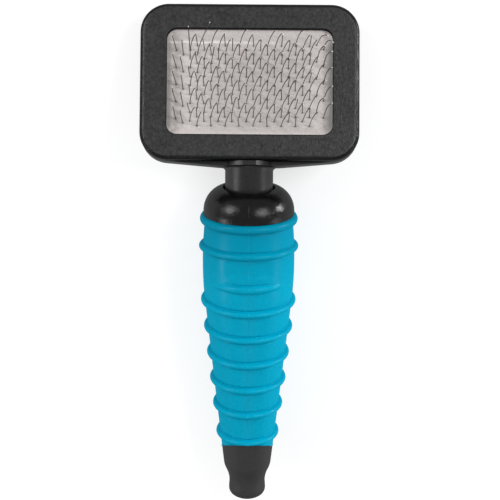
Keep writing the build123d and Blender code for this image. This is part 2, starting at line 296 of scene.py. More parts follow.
def moulded(
    name, dark, light, roughness, grain, grain_depth, wave_depth, side_wall_roughness=None, **values
):
    """Moulded plastic or rubber: mottled colour, uneven gloss, fine grain and slow waviness.

    Where a side wall roughness is given, walls facing away from the head's normal are painted
    darker as shade, with that roughness and a weaker coat."""
    material, principled = shader(name, **values)
    tree = material.node_tree
    colour = mixed(tree, ranged(tree, noise(tree, MOTTLE_SCALE, 4), 0, 1), dark, light)
    gloss = ranged(tree, noise(tree, GLOSS_SCALE, 3), *roughness)
    if side_wall_roughness:
        face = facing(tree, *WALL_COSINES)
        # painted shade on the side walls
        colour = mixed(tree, face, tuple(WALL_PAINTED_SHADE * part for part in dark), colour)
        gloss = mixed(tree, face, (side_wall_roughness,) * 3, gloss)
        coat = ranged(tree, face, WALL_COAT, values["Coat_Weight"], 0, 1)
        tree.links.new(coat, principled.inputs["Coat Weight"])
    waves = bumped(tree, noise(tree, WAVE_SCALE, 1), 1.0, wave_depth * MM)
    skin = bumped(tree, noise(tree, grain, 2), 1.0, grain_depth * MM, waves)
    for output, socket in (
        (colour, "Base Color"),
        (gloss, "Roughness"),
        (gloss, "Coat Roughness"),
        (skin, "Normal"),
        (skin, "Coat Normal"),
    ):
        tree.links.new(output, principled.inputs[socket])
    return material


def darker_by(material, name, colour):
    """Brings a colour into a material, by a share stored at the mesh's points."""
    tree = material.node_tree
    socket = tree.nodes["Principled BSDF"].inputs["Base Color"]
    before = socket.links[0].from_socket
    tree.links.new(mixed(tree, attribute(tree, name), before, colour), socket)


def metal(name, metallic, stain, span, dark, light, gloss_scale, roughness):
    """Metal with an uneven gloss, stained where noise of a scale and detail crosses a span."""
    material, principled = shader(name, Metallic=metallic)
    tree = material.node_tree
    share = ranged(tree, noise(tree, *stain), 0, 1, *span)
    tree.links.new(mixed(tree, share, dark, light), principled.inputs["Base Color"])
    gloss = ranged(tree, noise(tree, gloss_scale), *roughness)
    tree.links.new(gloss, principled.inputs["Roughness"])
    return material


PAD_COLOURS = {
    "dark": (0.57, 0.52, 0.5),
    "light": (0.78, 0.73, 0.71),
    "cloud": (0.6, 0.57, 0.56),
    # painted shade on the side slopes
    "painted_slope_shade": (0.27, 0.265, 0.25),
    # painted highlight along the top crease
    "painted_crease_highlight": (0.95, 0.93, 0.91),
    # painted shade in the holes round the wires' bases
    "painted_hole_shade": (0.09, 0.075, 0.07),
}
# scale, detail and roughness of the noise that makes each of them
PAD_SPECKLE = (2600, 4, 0.7)
PAD_CLOUDS = (260, 3)
PAD_GLOSS = (500, 3)
PAD_WAVES = (420, 2)
PAD_WAVE_DEPTH = 0.35
PAD_SPECKLE_DEPTH = 0.08


def pad_material():
    """Soft pinkish-grey rubber, speckled, with painted shade on its side slopes and in the wires'
    holes, and a painted highlight along its top crease.
    """
    material, principled = shader("pad_rubber", Sheen_Weight=0.12, Sheen_Roughness=0.5)
    tree = material.node_tree
    speckle = noise(tree, *PAD_SPECKLE)
    spots = ranged(tree, speckle, 0, 1, 0.35, 0.65)
    colour = mixed(tree, spots, PAD_COLOURS["dark"], PAD_COLOURS["light"])
    clouds = ranged(tree, noise(tree, *PAD_CLOUDS), 0, 0.4)
    colour = mixed(tree, clouds, colour, PAD_COLOURS["cloud"])
    # painted shade on the side slopes and in the holes, painted highlight along the crease
    for place in ("painted_slope_shade", "painted_crease_highlight", "painted_hole_shade"):
        colour = mixed(tree, attribute(tree, place), colour, PAD_COLOURS[place])
    tree.links.new(colour, principled.inputs["Base Color"])
    gloss = ranged(tree, noise(tree, *PAD_GLOSS), 0.5, 0.75)
    tree.links.new(gloss, principled.inputs["Roughness"])
    soft = bumped(tree, noise(tree, *PAD_WAVES), 1.0, PAD_WAVE_DEPTH * MM)
    skin = bumped(tree, speckle, 0.8, PAD_SPECKLE_DEPTH * MM, soft)
    tree.links.new(skin, principled.inputs["Normal"])
    return material


def woven_material(name, dark, light, wave_scale, thread_depth):
    """Plain weave from two crossed waves, about three of them a metre for each unit of scale."""
    material, principled = shader(name, Roughness=0.85, Sheen_Weight=0.2)
    tree = material.node_tree
    both = tree.nodes.new("ShaderNodeMath")
    both.operation = "MULTIPLY"
    for direction, factor in zip("XY", both.inputs):
        place = tree.nodes.new("ShaderNodeTexCoord")
        wave = tree.nodes.new("ShaderNodeTexWave")
        wave.bands_direction = direction
        wave.inputs["Scale"].default_value = wave_scale
        wave.inputs["Distortion"].default_value = 0.6
        tree.links.new(place.outputs["Object"], wave.inputs["Vector"])
        tree.links.new(wave.outputs["Fac"], factor)
    height = both.outputs[0]
    tree.links.new(mixed(tree, height, dark, light), principled.inputs["Base Color"])
    skin = bumped(tree, height, 1.0, thread_depth * MM)
    tree.links.new(skin, principled.inputs["Normal"])
    return material


# these parts shine by a thin coat alone, so that they keep their colour seen from the side
COATED = {"Specular_IOR_Level": 0.0, "Coat_IOR": 2.0}
HEAD_PLASTIC = moulded(
    "head_plastic",
    dark=(0.005, 0.005, 0.0055),
    light=(0.01, 0.01, 0.011),
    roughness=(0.32, 0.4),
    grain=3000,
    grain_depth=0.05,
    wave_depth=0.02,
    Coat_Weight=0.3,
    **COATED,
)
BEZEL_PLASTIC = moulded(
    "bezel_plastic",
    dark=(0.005, 0.005, 0.0052),
    light=(0.028, 0.028, 0.029),
    roughness=(0.34, 0.44),
    grain=1900,
    grain_depth=0.17,
    wave_depth=0.02,
    # the bezel's side walls: painted shade, smoother gloss and a weaker coat
    side_wall_roughness=0.22,
    Coat_Weight=0.28,
    **COATED,
)
COLLAR_PLASTIC = moulded(
    "collar_plastic",
    dark=(0.002, 0.002, 0.0023),
    light=(0.005, 0.005, 0.0055),
    roughness=(0.12, 0.2),
    grain=1900,
    grain_depth=0.11,
    wave_depth=0.02,
    Coat_Weight=0.2,
    **COATED,
)
TAIL_PLASTIC = moulded(
    "tail_plastic",
    dark=(0.023, 0.023, 0.0235),
    light=(0.027, 0.027, 0.028),
    roughness=(0.5, 0.56),
    grain=3600,
    grain_depth=0.025,
    wave_depth=0.02,
    Coat_Weight=0.2,
    **COATED,
)
GRIP_RUBBER = moulded(
    "grip_rubber",
    dark=(0.0, 0.275, 0.42),
    light=(0.0, 0.315, 0.48),
    roughness=(0.26, 0.36),
    grain=2600,
    grain_depth=0.012,
    wave_depth=0.05,
    Coat_Weight=0.045,
    Sheen_Weight=0.2,
    Sheen_Roughness=0.4,
    Sheen_Tint=(0.0, 0.7, 0.95, 1.0),
    **COATED,
)
# painted shade: the sleeve's colour darkens towards the collar
darker_by(GRIP_RUBBER, "painted_collar_shade", (0.0, 0.2, 0.31))
PAD_RUBBER = pad_material()
FOAM_RUBBER = moulded(
    "foam_rubber",
    dark=(0.55, 0.5, 0.42),
    light=(0.74, 0.7, 0.6),
    roughness=(0.8, 0.95),
    grain=1800,
    grain_depth=0.25,
    wave_depth=0.2,
)
BACKING_CLOTH = woven_material(
    "backing_cloth", (0.36, 0.33, 0.27), (0.62, 0.58, 0.49), wave_scale=80, thread_depth=0.1
)
WIRE = metal(
    "drawn_wire",
    metallic=1.0,
    stain=(1400, 3),
    span=(0.3, 0.7),
    dark=(0.055, 0.046, 0.043),
    light=(0.13, 0.115, 0.108),
    gloss_scale=3000,
    roughness=(0.3, 0.5),
)
# polished tips, coloured near white: a painted glint
WIRE_TIP_GLINT = metal(
    "polished_tip_painted_glint",
    metallic=0.4,
    stain=(5000, 2),
    span=(0.0, 1.0),
    dark=(0.8, 0.79, 0.77),
    light=(0.95, 0.94, 0.92),
    gloss_scale=4000,
    roughness=(0.2, 0.35),
)

for node, material in (
    ("head_shell", HEAD_PLASTIC),
    ("bezel_frame", BEZEL_PLASTIC),
    ("handle_core", COLLAR_PLASTIC),
    ("tail_cap", TAIL_PLASTIC),
):
    mesh = frame["nodes"][node].data
    mesh.materials.clear()
    mesh.materials.append(material)

# ---------------------------------------------------------------- wires
TIP_HEIGHT = 13.5
FOOT_DEPTH = 0.9
WIRE_RADIUS = 0.15
TIP_RADIUS = 0.11
WIRE_SIDES = 8
WIRE_SEED = 7
COLUMN_PITCH = 2.36
ROW_PITCH = 3.02
OUTER_ROW_PITCH = 5.8
ROW_INSET = 0.45
INNER_COLUMNS = 18
# each kind's tip over its base, and how its last stretch bows over on the way there
LEANS = {
    "straight": ((0.0, 1.2), (0.0, -0.25)),
    "right": ((2.5, 2.25), (-0.75, 1.35)),
    "left": ((-0.25, 2.5), (0.0, -0.35)),
    "far_left": ((-0.6, 2.3), (0.1, -0.35)),
    "down_right": ((2.55, 2.7), (-1.95, 0.15)),
}
# columns outside the inner ones: how many steps out, where their rows start, and their kind
OUTER_COLUMNS = (
    (-1, 0.8, "left"),
    (-2, 2.3, "far_left"),
    (1, 4.4, "down_right"),
    (2, 2.9, "down_right"),
)
# wires bent out of line by use: where they stand, and their own lean, bow and height
STRAYS = (
    ((-19.7, 8.6), (-0.5, 8.6), (0.0, -1.0), 11.0),
    ((-17.3, 9.3), (4.6, 8.6), (0.0, -1.0), 11.0),
    ((-12.4, 5.6), (0.9, 3.4), (0.0, -1.0), 13.0),
    ((22.42, 13.3), (3.7, 0.2), (-2.6, 1.9), 13.3),
    ((24.78, 11.8), (2.5, -0.6), (-2.4, 2.6), 13.3),
)
# a wire bends twice: at these shares of its height, the low bend at these shares of its lean
BEND_HEIGHTS = (0.36, 0.92)
LOW_BEND = (0.06, 0.3)
# by how much chance moves the tip in its three directions, the low bend and the high bend
SWAY = (0.32, 0.28, 0.3, 0.2, 0.35, 0.4)
# shares of the way along a wire at which its points lie, closer together where it bows
CURVE_POINTS = (0, 0.05, 0.2, 0.35, 0.5, 0.62, 0.73, 0.82, 0.89, 0.95, 1)
# radii of a wire's last loops, with its rounded end, and how many of them are polished; these are
# coloured near white as a painted glint
TIP_RADII = (0.14, 0.125, TIP_RADIUS, TIP_RADIUS * 0.7, 0.01)
SHINY_LOOPS = 4


def column_rows(start, pitch):
    """Where the wires of one column stand, from the middle of the head."""
    first = -(WINDOW[1] / 2 - FACE_SLOPES[1]) + ROW_INSET
    count = math.ceil((-2 * first - start) / pitch)
    return [first + start + pitch * row for row in range(count)]


def wire_layout():
    """Every wire as (across, up, kind): the card's own staggered pattern."""
    found = []
    edge = (INNER_COLUMNS - 1) / 2
    for column in range(INNER_COLUMNS):
        start = ROW_PITCH / 2 if column % 2 == 0 else 0
        for count, y in enumerate(column_rows(start, ROW_PITCH)):
            kind = "right" if (column // 2 + count) % 2 == 0 else "straight"
            found.append(((column - edge) * COLUMN_PITCH, y, kind))
    for step, start, kind in OUTER_COLUMNS:
        x = (step + math.copysign(edge, step)) * COLUMN_PITCH
        found += [(x, y, kind) for y in column_rows(start, OUTER_ROW_PITCH)]
    return found


def wire_path(x, y, kind, sway):
    """Centre line of one wire as a smooth curve from base to tip, heights over the pad."""
    lean, bow = LEANS[kind]
    height = TIP_HEIGHT
    for place, own_lean, own_bow, own_height in STRAYS:
        if math.dist((x, y), place) < ROW_PITCH / 2:
            lean, bow, height = own_lean, own_bow, own_height
    tip_x, tip_y = x + lean[0] + sway[0], y + lean[1] + sway[1]
    low_x, low_y = x + LOW_BEND[0] * lean[0] + sway[3], y + LOW_BEND[1] * lean[1]
    base = np.array((x, y, -FOOT_DEPTH))
    low = np.array((low_x, low_y, height * BEND_HEIGHTS[0]))
    high = np.array((tip_x + bow[0] + sway[4], tip_y + bow[1] + sway[5], height * BEND_HEIGHTS[1]))
    tip = np.array((tip_x, tip_y, height + sway[2]))
    path = []
    for t in CURVE_POINTS:
        u = 1 - t
        path.append(u**3 * base + 3 * u * u * t * low + 3 * u * t * t * high + t**3 * tip)
    end = (path[-1] - path[-2]) / np.linalg.norm(path[-1] - path[-2])
    return path + [path[-1] + end * TIP_RADIUS * 0.7, path[-1] + end * TIP_RADIUS]


def build_wires():
    """All the pad's wires as one piece, their tips in a material of their own, near white as a
    painted glint.
    """
    random.seed(WIRE_SEED)
    turns = [2 * math.pi * side / WIRE_SIDES for side in range(WIRE_SIDES)]
    points, faces, shiny = [], [], []
    for x, y, kind in wire_layout():
        path = wire_path(x, y, kind, [random.uniform(-most, most) for most in SWAY])
        radii = [WIRE_RADIUS] * (len(path) - len(TIP_RADII)) + list(TIP_RADII)
        first = len(points)
        for (px, py, pz), radius in zip(path, radii):
            for turn in turns:
                across, up = px + radius * math.cos(turn), py + radius * math.sin(turn)
                points.append((across, up, FACE_HEIGHT + pz))
        quads = loop_faces(len(path), WIRE_SIDES, first)
        faces += quads
        shiny_from = first + (len(path) - SHINY_LOOPS) * WIRE_SIDES
        shiny += [face[0] >= shiny_from for face in quads]
        faces.append(tuple(reversed(range(first, first + WIRE_SIDES))))
        faces.append(tuple(range(len(points) - WIRE_SIDES, len(points))))
        shiny += [False, True]
    piece = mesh_piece("pin_wires", on_head(points), faces, WIRE, WIRE_TIP_GLINT)
    piece.data.polygons.foreach_set("material_index", [int(bright) for bright in shiny])
    return piece


# ---------------------------------------------------------------- rubber pad
SKIN_TOP = LIP_HEIGHT - 0.06
SKIN_MARGIN = 1.2
SKIN_CELL = 0.22
# play between the skin and the flange round it
FLANGE_GAP = 0.025
# radius of the painted shade round each wire's base
HOLE_SHADE_RADIUS = 0.32
DIMPLE_DEPTH = 0.26
DIMPLE_RADIUS = 0.8
CREASE_LINE = 13.85
CREASE_HEIGHT = 0.24
CREASE_HALF_WIDTH = 0.3
QUILT_DEPTH = 0.3
QUILT_HALF_WIDTH = 0.3
# length of the slope under the window's top edge, which is longer than the one at the bottom
TOP_SLOPE = 4.2
# how the side slopes and the end slopes round off where they meet, in shares of a slope
MEETING_WIDTH = 0.7
MEETING_DROP = 0.12
SLOPE_STRETCH = 0.92
# how much higher the pad is in its middle, and over which length it rises to that
BULGE_HEIGHT = 0.18
BULGE_LENGTH = 9
# how strong the painted shade on the side slopes is
LEFT_SLOPE_SHADE = 0.93
RIGHT_SLOPE_SHADE = 0.95


def squared_to_round(x, y, size, corner):
    """Moves points of a rectangle's corners inwards so that its outline is round there."""
    ax, ay = np.abs(x), np.abs(y)
    dx = np.clip(ax - (size[0] / 2 - corner), 0, None)
    dy = np.clip(ay - (size[1] / 2 - corner), 0, None)
    both = (dx > 0) & (dy > 0)
    shrink = np.where(both, np.maximum(dx, dy) / np.maximum(np.hypot(dx, dy), 1e-9), 1)
    ax = np.where(both, size[0] / 2 - corner + dx * shrink, ax)
    ay = np.where(both, size[1] / 2 - corner + dy * shrink, ay)
    return np.sign(x) * ax, np.sign(y) * ay


def eased(share):
    """A share kept between none and all, which starts and ends gently."""
    share = np.clip(share, 0, 1)
    return share * share * (3 - 2 * share)


def quilting(x, y):
    """Depth of the creases in which the wires stand, aslant from each column to the next."""
    slope = ROW_PITCH / 2 / COLUMN_PITCH
    wobble = 0.16 * np.sin(1.1 * x + 1.7 * np.sin(0.8 * y)) + 0.1 * np.sin(2.3 * x - 1.9 * y)
    phase = (y + slope * x + wobble - column_rows(0, ROW_PITCH)[0]) / ROW_PITCH - 0.25
    aside = (phase - np.round(phase)) * ROW_PITCH * math.cos(math.atan(slope))
    uneven = 0.6 + 0.4 * np.sin(0.9 * x + 1.9 * y + 2 * np.sin(0.37 * x - 0.2 * y))
    crease = np.exp(-((aside / QUILT_HALF_WIDTH) ** 2))
    return QUILT_DEPTH * uneven * (crease + 0.5 * np.cos(2 * math.pi * phase))


def pad_surface(x, y, wires):
    """Height of the pad's rubber over the head's back, and shares of painted shade in its holes, of
    a painted highlight along its top crease and of painted shade on its side slopes."""
    side = (WINDOW[0] / 2 - np.abs(x)) / FACE_SLOPES[0]
    end = (WINDOW[1] / 2 - np.abs(y)) / np.where(y > 0, TOP_SLOPE, FACE_SLOPES[1])
    # rounded meeting of the side slopes and the end slopes
    meeting = np.clip(1 - np.abs(side - end) / MEETING_WIDTH, 0, 1)
    depth = np.minimum(side, end) - MEETING_DROP * meeting**2
    height = FACE_HEIGHT + (SKIN_TOP - FACE_HEIGHT) * (1 - eased(depth * SLOPE_STRETCH))
    bulge = eased((WINDOW[0] / 2 - np.abs(x)) / BULGE_LENGTH)
    bulge = bulge * eased((WINDOW[1] / 2 - np.abs(y)) / BULGE_LENGTH)
    height = height + BULGE_HEIGHT * bulge
    height = height - quilting(x, y) * eased(depth)
    nearest = np.full(x.shape, 9.0)
    for wx, wy, _ in wires:
        nearest = np.minimum(nearest, np.hypot(x - wx, y - wy))
    dimple = np.exp(-((nearest / DIMPLE_RADIUS) ** 2))
    height = height - DIMPLE_DEPTH * dimple * eased(depth)
    # crease along the top, where the rubber is folded, stronger on the left; its share also paints
    # a highlight along it
    line = y - CREASE_LINE - 0.1 * np.sin(x * 0.5)
    crease = np.exp(-((line / CREASE_HALF_WIDTH) ** 2))
    crease = crease * np.clip(0.45 - x / 30, 0, 1) * eased(depth)
    # painted shade on the side slopes, darker than the rest, more so on the right
    slope = eased((1.2 - side) / 0.9) * eased(end * 0.8)
    slope = slope * np.where(x > 0, RIGHT_SLOPE_SHADE, LEFT_SLOPE_SHADE)
    # painted shade in the hole round each wire's base
    hole_shade = np.clip(1.3 - nearest / HOLE_SHADE_RADIUS, 0, 1)
    return height + CREASE_HEIGHT * crease, hole_shade, crease, slope


def build_pad_skin():
    """The pad's visible rubber: a fine sheet over the window's opening, with its underside."""
    size = (WINDOW[0] + 2 * SKIN_MARGIN, WINDOW[1] + 2 * SKIN_MARGIN)
    nx, ny = (int(length / SKIN_CELL) + 1 for length in size)
    columns = np.linspace(-size[0] / 2, size[0] / 2, nx)
    rows = np.linspace(-size[1] / 2, size[1] / 2, ny)
    gx, gy = np.meshgrid(columns, rows, indexing="ij")
    x, y = squared_to_round(gx.ravel(), gy.ravel(), size, WINDOW_CORNER + SKIN_MARGIN)
    height, hole_shade, crease, slope = pad_surface(x, y, wire_layout())
    top = np.column_stack([x, y, height])
    under = np.column_stack([x, y, height - RUBBER_THICKNESS])
    lower = nx * ny
    grid = np.arange(lower).reshape(nx, ny)
    corners = (grid[:-1, :-1], grid[1:, :-1], grid[1:, 1:], grid[:-1, 1:])
    faces = [tuple(map(int, face)) for face in zip(*(corner.ravel() for corner in corners))]
    faces += [tuple(k + lower for k in reversed(face)) for face in faces]
    rim = [*grid[:, 0], *grid[-1, 1:], *grid[-2::-1, -1], *grid[0, -2:0:-1]]
    rim = [int(k) for k in rim]
    for here, after in zip(rim, rim[1:] + rim[:1]):
        faces.append((here, here + lower, after + lower, after))
    piece = mesh_piece("pad_skin", on_head(np.concatenate([top, under])), faces, PAD_RUBBER)
    for name, value in (("painted_hole_shade", hole_shade), ("painted_crease_highlight", crease), ("painted_slope_shade", slope)):
        layer = piece.data.attributes.new(name, "FLOAT", "POINT")
        layer.data.foreach_set("value", np.concatenate([value, value * 0]).astype(np.float32))
    return piece


def build_pad_flange():
    """The pad's clamped flange, between the ledge and the bezel's lip."""
    inner = tuple(w + 2 * SKIN_MARGIN + 2 * FLANGE_GAP for w in WINDOW)
    inside = rounded_outline(inner, WINDOW_CORNER + SKIN_MARGIN)
    outside = rounded_outline(FLANGE, FLANGE_CORNER)
    under = LIP_HEIGHT - RUBBER_THICKNESS
    section = ((inside, under), (inside, LIP_HEIGHT), (outside, LIP_HEIGHT), (outside, under))
    loops = [at_height(outline, height) for outline, height in section]
    faces = loop_faces(len(loops), len(inside), closed=True)
    faces = [tuple(reversed(face)) for face in faces]
    return mesh_piece("pad_flange", on_head(np.concatenate(loops)), faces, PAD_RUBBER, smooth=False)


# ---------------------------------------------------------------- grip sleeve
RING_BLEND = 0.12
RING_CREST_HALF_WIDTH = 1.12
# the narrow grooves that the mould leaves along a ring's feet: the first is on the collar's side
GROOVE_HALF_WIDTH = 0.22
GROOVE_DEPTHS = (0.34, 0.1)
GROOVE_GAP = 0.12
THUMB_DROP = 1.1
THUMB_GROOVE_DEPTH = 0.25
THUMB_GROOVE_GAP = 0.1
# how far the rings lie towards the tail on the front, at stations along the sleeve
LEAN_STATIONS = (17.35, 20.0, 28.0, 31.0, 46.0, 98.0)
LEAN_AMOUNTS = (0.0, -0.3, -0.6, -0.5, 0.75, 0.85)
SEAM_HEIGHT = 0.12
SEAM_HALF_WIDTH = 0.16
# shallow scoop for the thumb between the second ring and the partial one
SCOOP_STATION = FIRST_RING + 1.42 * RING_PITCH
SCOOP_HALF_WIDTH = 9.5
SCOOP_HALF_LENGTH = 3.6
SCOOP_DEPTH = 0.3
PATCH_STEEPNESS = 2.4
# the last stretch, which is bent to the slanted cut
CUT_START = LAST_RING + RING_SIZE[1] + 0.1
CUT_PASSES = 3
# the free edge on the cut: how long it is, how it swells, its waves, and how it turns in
EDGE_LENGTH = 1.2
EDGE_SWELL = 0.22
EDGE_WAVE = 0.2
EDGE_LIFT = 0.35
EDGE_ROUND = 0.02
EDGE_BEVEL = 0.1
EDGE_GAP = 0.06
EDGE_INSET = 0.05
# rounded rim at the collar: how long it is, and how far it turns in
RIM_LENGTH = 0.5
RIM_DROP = 0.3
# painted shade: the rubber's colour is darkened towards the collar, up to this station, standing in
# for the dimmer light there
COLLAR_SHADE_END = 42.0
# the mesh's steps along the sleeve: fine up to some way from a ring's middle, coarse beyond
FINE_STEP = 0.13
COARSE_STEP = 0.5
FINE_REACH = 2.0
LAST_STEP = 0.15
SLEEVE_SIDES = 168
# extra sides at each parting line, in degrees from it
SEAM_SIDES = (-1.2, -0.55, -0.25, 0.25, 0.55, 1.2)
# the inside has one loop for so many on the outside
INNER_STRIDE = 24


def wall_radius(station):
    """Outer radius of the sleeve between its rings."""
    reach = (station - BARREL_MIDDLE) / (TAPER_START - BARREL_MIDDLE)
    barrel = BARREL_RADIUS - BARREL_FALL * reach**2
    share = np.clip((station - TAPER_START) / (SHOULDER_STATION - TAPER_START), 0, None)
    start = BARREL_RADIUS - BARREL_FALL
    taper = start + (SHOULDER_RADIUS - start) * share + 4 * TAPER_BULGE * share * (1 - share)
    return np.where(station < TAPER_START, barrel, taper)


def smooth_max(a, b, blend):
    """The larger of two values, with a fillet where they cross."""
    near = np.clip(blend - np.abs(a - b), 0, None) / blend
    return np.maximum(a, b) + near * near * blend / 4


def ring_profile(station, middle, height, half_width, radius):
    """Outer radius of a ring with a round crest; far under the wall away from the ring."""
    share = (station - middle) / half_width
    inside = np.abs(share) < 1
    crest = radius + height * np.sqrt(np.clip(1 - share**2, 0, 1))
    return np.where(inside, crest, radius - 4 * (np.abs(share) - 1))


def ring_lean(place, angle):
    """How far the rings' line at a place along the sleeve lies towards the tail, at an angle."""
    return np.interp(place, LEAN_STATIONS, LEAN_AMOUNTS) * np.cos(angle)


def ring_places():
    """Stations of the full rings, and of the partial one, the thumb stop."""
    before = [FIRST_RING + RING_PITCH * count for count in range(RINGS_BEFORE_THUMB)]
    thumb = before[-1] + RING_PITCH
    after = [thumb + RING_PITCH * (count + 1) for count in range(RINGS_AFTER_THUMB)]
    return before + after + [LAST_RING], thumb + THUMB_DROP


def patch(share):
    """All in the middle of a patch and none from its border on, where the share is one."""
    return eased((1 - np.abs(share)) * PATCH_STEEPNESS)


def groove(offset, depth):
    """Depth of a groove at an offset from its line."""
    return depth * np.exp(-((offset / GROOVE_HALF_WIDTH) ** 2))


def sleeve_surface(place, station, angle):
    """Outer radius of the sleeve at a place among the rings, whose station there is given."""
    wall = wall_radius(station)
    thumb_patch = patch(np.sin(angle) * wall / SCOOP_HALF_WIDTH)
    scoop = thumb_patch * patch((station - SCOOP_STATION) / SCOOP_HALF_LENGTH)
    surface = wall - SCOOP_DEPTH * scoop * (np.cos(angle) > 0)
    rings, thumb = ring_places()
    for middle in rings:
        height, half_width = RING_SIZE[0], RING_CREST_HALF_WIDTH
        if middle == FIRST_RING:
            height, half_width = FIRST_RING_SIZE
        for side, depth in zip((-1, 1), GROOVE_DEPTHS):
            foot = middle + side * (half_width + GROOVE_GAP)
            surface = surface - groove(place - foot, depth)
        root = wall_radius(np.array(middle))
        ring = ring_profile(place, middle, height, half_width, root)
        surface = smooth_max(surface, ring, RING_BLEND)
    # the thumb stop: a ring off the axis, which fades into the wall at the sides
    foot = thumb - (RING_SIZE[1] + THUMB_GROOVE_GAP)
    surface = surface - groove(place - foot, THUMB_GROOVE_DEPTH) * thumb_patch
    root = wall_radius(np.array(thumb)) - THUMB_SHIFT
    profile = np.clip(ring_profile(place, thumb, *RING_SIZE, root), 0, None)
    turned = np.abs(THUMB_SHIFT * np.cos(angle))
    stop = turned + np.sqrt(np.clip(profile**2 - (THUMB_SHIFT * np.sin(angle)) ** 2, 0, None))
    surface = smooth_max(surface, stop, RING_BLEND)
    # parting line of the mould, rubbed flat at the back
    seam = np.abs(np.sin(angle)) * surface / SEAM_HALF_WIDTH
    return surface + SEAM_HEIGHT * np.clip(1 - seam, 0, 1) * (np.cos(angle) > 0)


def sleeve_stations():
    """Stations along the sleeve, close together at the rings and wider apart between them."""
    rings, thumb = ring_places()
    stations = [SLEEVE_START]
    while stations[-1] < SLEEVE_END - 2 * LAST_STEP:
        away = min(abs(stations[-1] - middle) for middle in (*rings, thumb))
        stations.append(stations[-1] + (FINE_STEP if away < FINE_REACH else COARSE_STEP))
    return np.array(stations[:-1] + [SLEEVE_END - LAST_STEP, SLEEVE_END])


def slanted(station, angle, inset=0.0):
    """Moves the last stretch of the sleeve so that it ends on the slanted cut."""
    cut = SLEEVE_END
    for _ in range(CUT_PASSES):
        radius = wall_radius(np.asarray(cut, float)) - inset
        cut = SLEEVE_END - math.tan(SLEEVE_END_SLANT) * radius * np.cos(angle)
    beyond = np.clip(station - CUT_START, 0, None)
    bent = CUT_START + beyond * (cut - CUT_START) / (SLEEVE_END - CUT_START)
    return np.where(station > CUT_START, bent, station)


def sleeve_angles():
    """Angles round the sleeve, with extra ones at the two parting lines."""
    angles = [2 * math.pi * k / SLEEVE_SIDES for k in range(SLEEVE_SIDES)]
    for side in (0, math.pi):
        for aside in SEAM_SIDES:
            angles.append((side + math.radians(aside)) % (2 * math.pi))
    return np.array(sorted(angles))


def build_sleeve():
    """The rubber sleeve: its surface, its free edge on the slanted cut, and its inside."""
    angles = sleeve_angles()
    stations = sleeve_stations()
    place, a = np.meshgrid(stations, angles, indexing="ij")
    edge = eased((place - (SLEEVE_END - EDGE_LENGTH)) / EDGE_LENGTH)
    wave = EDGE_WAVE * (np.sin(3 * a + 0.5) * 0.6 + np.sin(7 * a) * 0.4)
    wave = wave - EDGE_LIFT * np.cos(a) ** 2
    s = slanted(place + ring_lean(place, a) * (1 - edge), a)
    outer = sleeve_surface(place, s, a) + EDGE_SWELL * edge
    s = s + wave * edge
    rim = np.clip(1 - (s - SLEEVE_START) / RIM_LENGTH, 0, 1)
    outer = outer - RIM_DROP * rim**2
    # the edge turns in over three loops, and the inside runs back to the collar
    end = s[-1:]
    under_end = wall_radius(end) + EDGE_GAP
    cut = slanted(np.full_like(end, SLEEVE_END - EDGE_INSET), a[-1:])
    coarse = [SLEEVE_END - EDGE_INSET, *reversed(stations[1:-1:INNER_STRIDE]), SLEEVE_START]
    inner_s, inner_a = np.meshgrid(coarse, angles, indexing="ij")
    inner_s = slanted(inner_s, inner_a, SLEEVE_THICKNESS)
    inner = wall_radius(inner_s) - SLEEVE_THICKNESS
    all_s = np.concatenate([s, end + EDGE_ROUND, end + EDGE_ROUND, cut, inner_s])
    all_r = np.concatenate([outer, outer[-1:] - EDGE_BEVEL, under_end, wall_radius(cut), inner])
    all_a = np.broadcast_to(angles, all_s.shape)
    faces = [tuple(reversed(f)) for f in loop_faces(len(all_s), len(angles), closed=True)]
    points = on_handle(all_s, all_a, all_r).reshape(-1, 3)
    piece = mesh_piece("grip_rubber_sleeve", points, faces, GRIP_RUBBER)
    # share of painted shade towards the collar, stored at the sleeve's outer points
    painted_collar_shade = np.zeros(all_s.shape, np.float32)
    shade = np.clip((COLLAR_SHADE_END - place) / (COLLAR_SHADE_END - SLEEVE_START), 0, 1)
    painted_collar_shade[: len(shade)] = shade
    layer = piece.data.attributes.new("painted_collar_shade", "FLOAT", "POINT")
    layer.data.foreach_set("value", painted_collar_shade.ravel())
    return piece


# ---------------------------------------------------------------- mould line on the collar
LINE_HALF_WIDTH = 0.2
LINE_HEIGHT = 0.12
LINE_SUNK = 0.05
LINE_TURNS = np.radians(np.linspace(8, 89, 28))


def build_collar_line():
    """The thin raised line that the mould's halves leave on the collar, front and back."""
    points, faces = [], []
    for side in (0.0, math.pi):
        rows = []
        for turn in LINE_TURNS:
            station = COLLAR_CREST - (COLLAR_CREST - COLLAR_START) * math.cos(turn)
            radius = NECK_RADIUS + (COLLAR_RADIUS - NECK_RADIUS) * math.sin(turn)
            half = LINE_HALF_WIDTH / radius
            foot, crest = radius - LINE_SUNK, radius + LINE_HEIGHT
            section = ((-half, foot), (-half * 0.4, crest), (half * 0.4, crest), (half, foot))
            rows.append([(station, side + aside, out) for aside, out in section])
        first = len(points)
        stations, angles, radii = np.moveaxis(np.array(rows), -1, 0)
        points += list(on_handle(stations, angles, radii).reshape(-1, 3))
        faces += [tuple(reversed(f)) for f in loop_faces(len(rows), 4, first)]
        faces.append((first, first + 1, first + 2, first + 3))
        last = len(points) - 4
        faces.append((last + 3, last + 2, last + 1, last))
    return mesh_piece("collar_mould_line", points, faces, COLLAR_PLASTIC)


# ---------------------------------------------------------------- put the pieces on their bodies
wires = build_wires()
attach(wires, "pin_pad")
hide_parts("pin_card")

pad_skin = build_pad_skin()
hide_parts("pin_card", "pad_border")
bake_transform(pad_skin)

pad_flange = build_pad_flange()
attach(pad_flange, "root")
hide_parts("pad_border")

